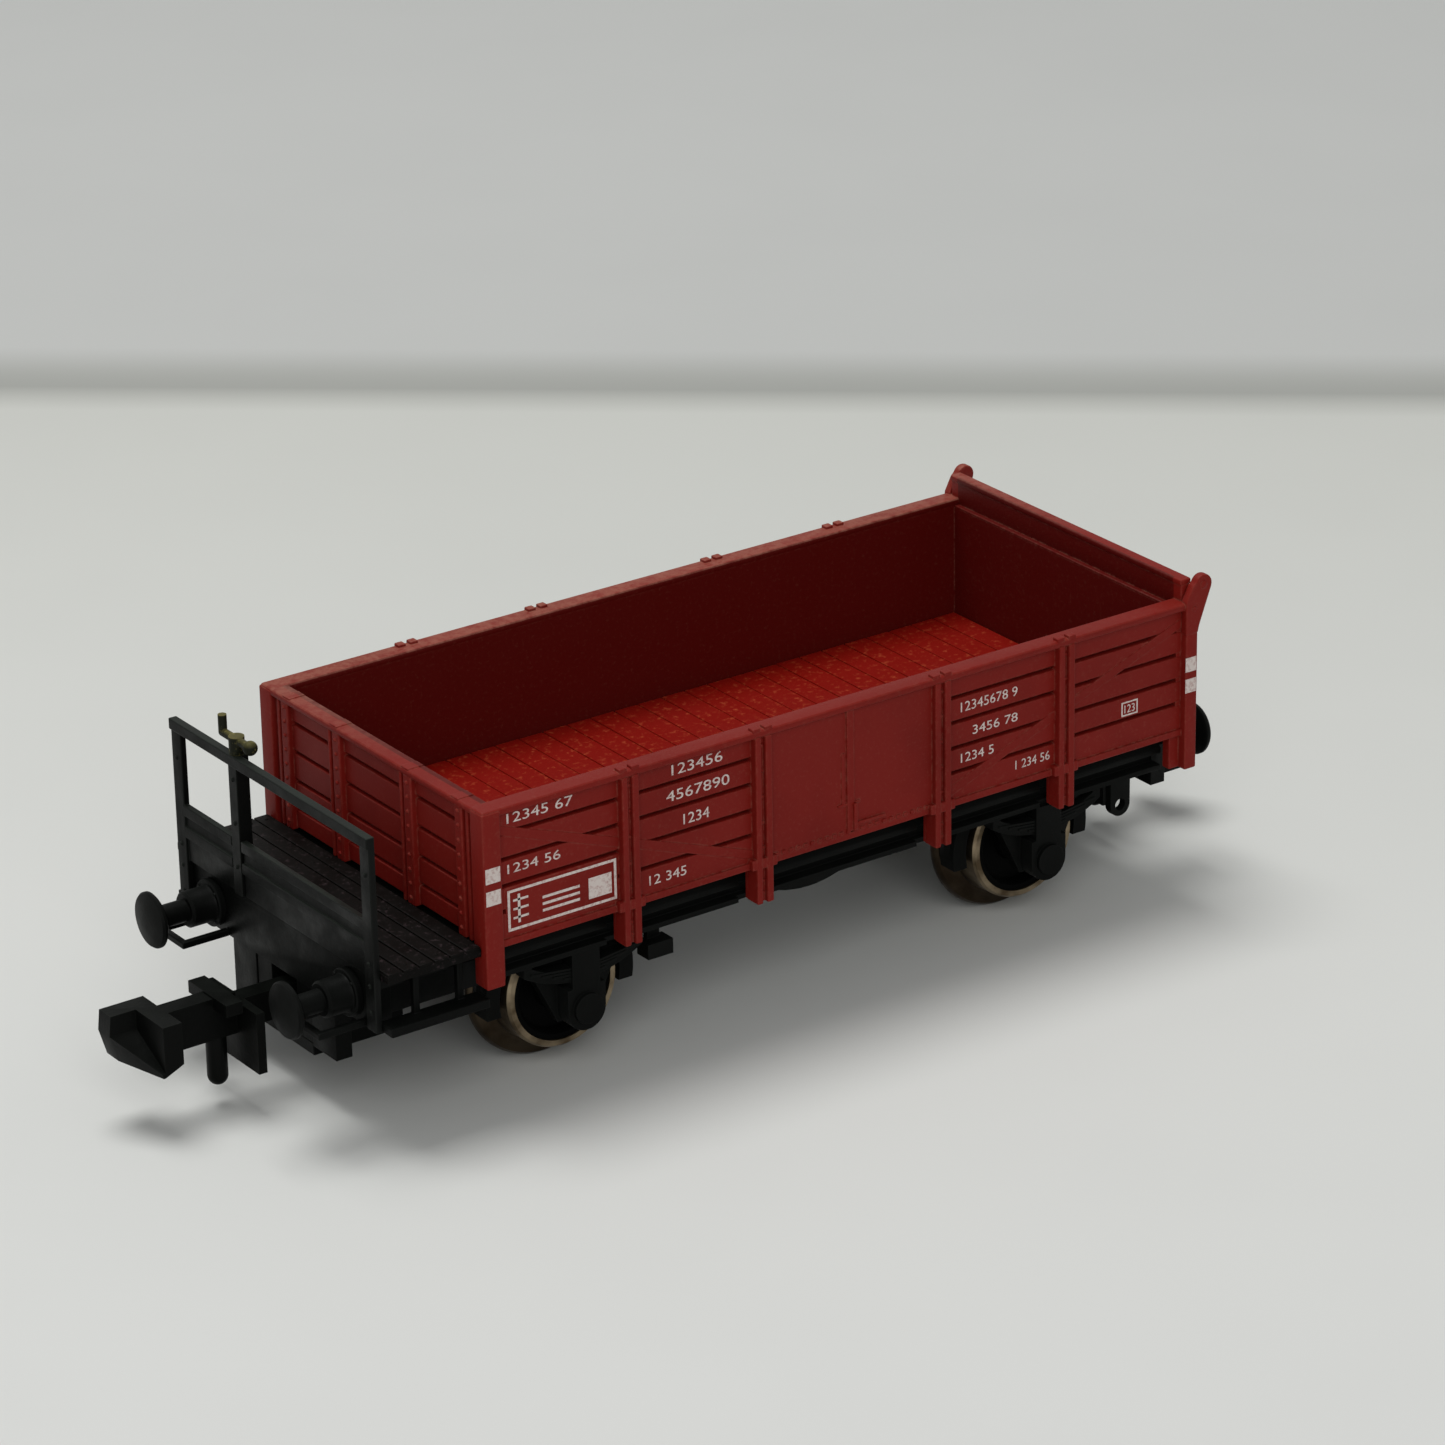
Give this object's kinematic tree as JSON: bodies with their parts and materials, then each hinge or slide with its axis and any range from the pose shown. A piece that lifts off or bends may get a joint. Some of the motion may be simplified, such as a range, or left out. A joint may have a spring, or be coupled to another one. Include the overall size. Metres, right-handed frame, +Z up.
{
  "type": "model open goods wagon",
  "caption": "Small-scale open goods wagon with a brakeman's platform, hook couplings, buffers and turning wheelsets.",
  "frame": {"origin": "bottom centre of the whole length, on the surface that the wheel flanges stand on", "axes": "+X along the wagon from the platform end to the tipping end wall, -Y the lettered side, +Z up"},
  "size_m": [0.0564, 0.0176, 0.0155],
  "materials": {
    "body_red": "matte oxide red moulding",
    "floor_red": "matte, slightly grainy",
    "ballast_steel": "plain rolled sheet",
    "frame_black": "matte black moulding",
    "crank_brass": "dull olive paint",
    "tyre_metal": "dulled, turned",
    "axle_steel": "turned",
    "spring_steel": "wire",
    "wheel_black": "matte black moulding",
    "coupler_black": "matte black moulding"
  },
  "bodies": {
    "wagon": {"ballast_plate": "ballast_steel", "brake_column": "frame_black", "brake_crank": "crank_brass", "floor_insert": "floor_red", "front_brake_gear": "frame_black", "front_buffer_far": "frame_black", "front_buffer_near": "frame_black", "front_coupler_cover": "coupler_black", "front_shunter_grips": "frame_black", "platform_deck": "frame_black", "platform_railing": "frame_black", "rear_brake_gear": "frame_black", "rear_buffer_far": "frame_black", "rear_buffer_near": "frame_black", "rear_coupler_cover": "coupler_black", "rear_shunter_grips": "frame_black", "step_board_far": "frame_black", "step_board_near": "frame_black", "underframe": "frame_black", "wagon_body": "body_red"},
    "front_wheelset": {"front_axle": "axle_steel", "front_tyre_near": "tyre_metal", "front_tyre_far": "tyre_metal", "front_wheel_centre_near": "wheel_black", "front_wheel_centre_far": "wheel_black"},
    "front_coupler_swivel": {"front_coupler_spring": "spring_steel"},
    "front_coupler_hook": {"front_coupler": "coupler_black"},
    "rear_wheelset": {"rear_axle": "axle_steel", "rear_tyre_near": "tyre_metal", "rear_tyre_far": "tyre_metal", "rear_wheel_centre_near": "wheel_black", "rear_wheel_centre_far": "wheel_black"},
    "rear_coupler_swivel": {"rear_coupler_spring": "spring_steel"},
    "rear_coupler_hook": {"rear_coupler": "coupler_black"}
  },
  "joints": [
    {"name": "front_wheelset_spin", "type": "hinge", "parent": "wagon", "child": "front_wheelset", "pos_m": [-0.01, 0, 0.0037], "axis": [0, 1, 0], "continuous": true},
    {"name": "front_coupler_swing", "type": "hinge", "parent": "wagon", "child": "front_coupler_swivel", "pos_m": [-0.01875, 0, 0.004], "axis": [0, 0, 1], "range_deg": [-12, 12], "stiffness_Nm_per_rad": 0.0002},
    {"name": "front_coupler_lift", "type": "hinge", "parent": "front_coupler_swivel", "child": "front_coupler_hook", "pos_m": [-0.01875, 0, 0.004], "axis": [0, 1, 0], "range_deg": [0, 10], "stiffness_Nm_per_rad": 0.0001},
    {"name": "rear_wheelset_spin", "type": "hinge", "parent": "wagon", "child": "rear_wheelset", "pos_m": [0.0147, 0, 0.0037], "axis": [0, 1, 0], "continuous": true},
    {"name": "rear_coupler_swing", "type": "hinge", "parent": "wagon", "child": "rear_coupler_swivel", "pos_m": [0.01875, 0, 0.004], "axis": [0, 0, 1], "range_deg": [-12, 12], "stiffness_Nm_per_rad": 0.0002},
    {"name": "rear_coupler_lift", "type": "hinge", "parent": "rear_coupler_swivel", "child": "rear_coupler_hook", "pos_m": [0.01875, 0, 0.004], "axis": [0, -1, 0], "range_deg": [0, 10], "stiffness_Nm_per_rad": 0.0001}
  ]
}
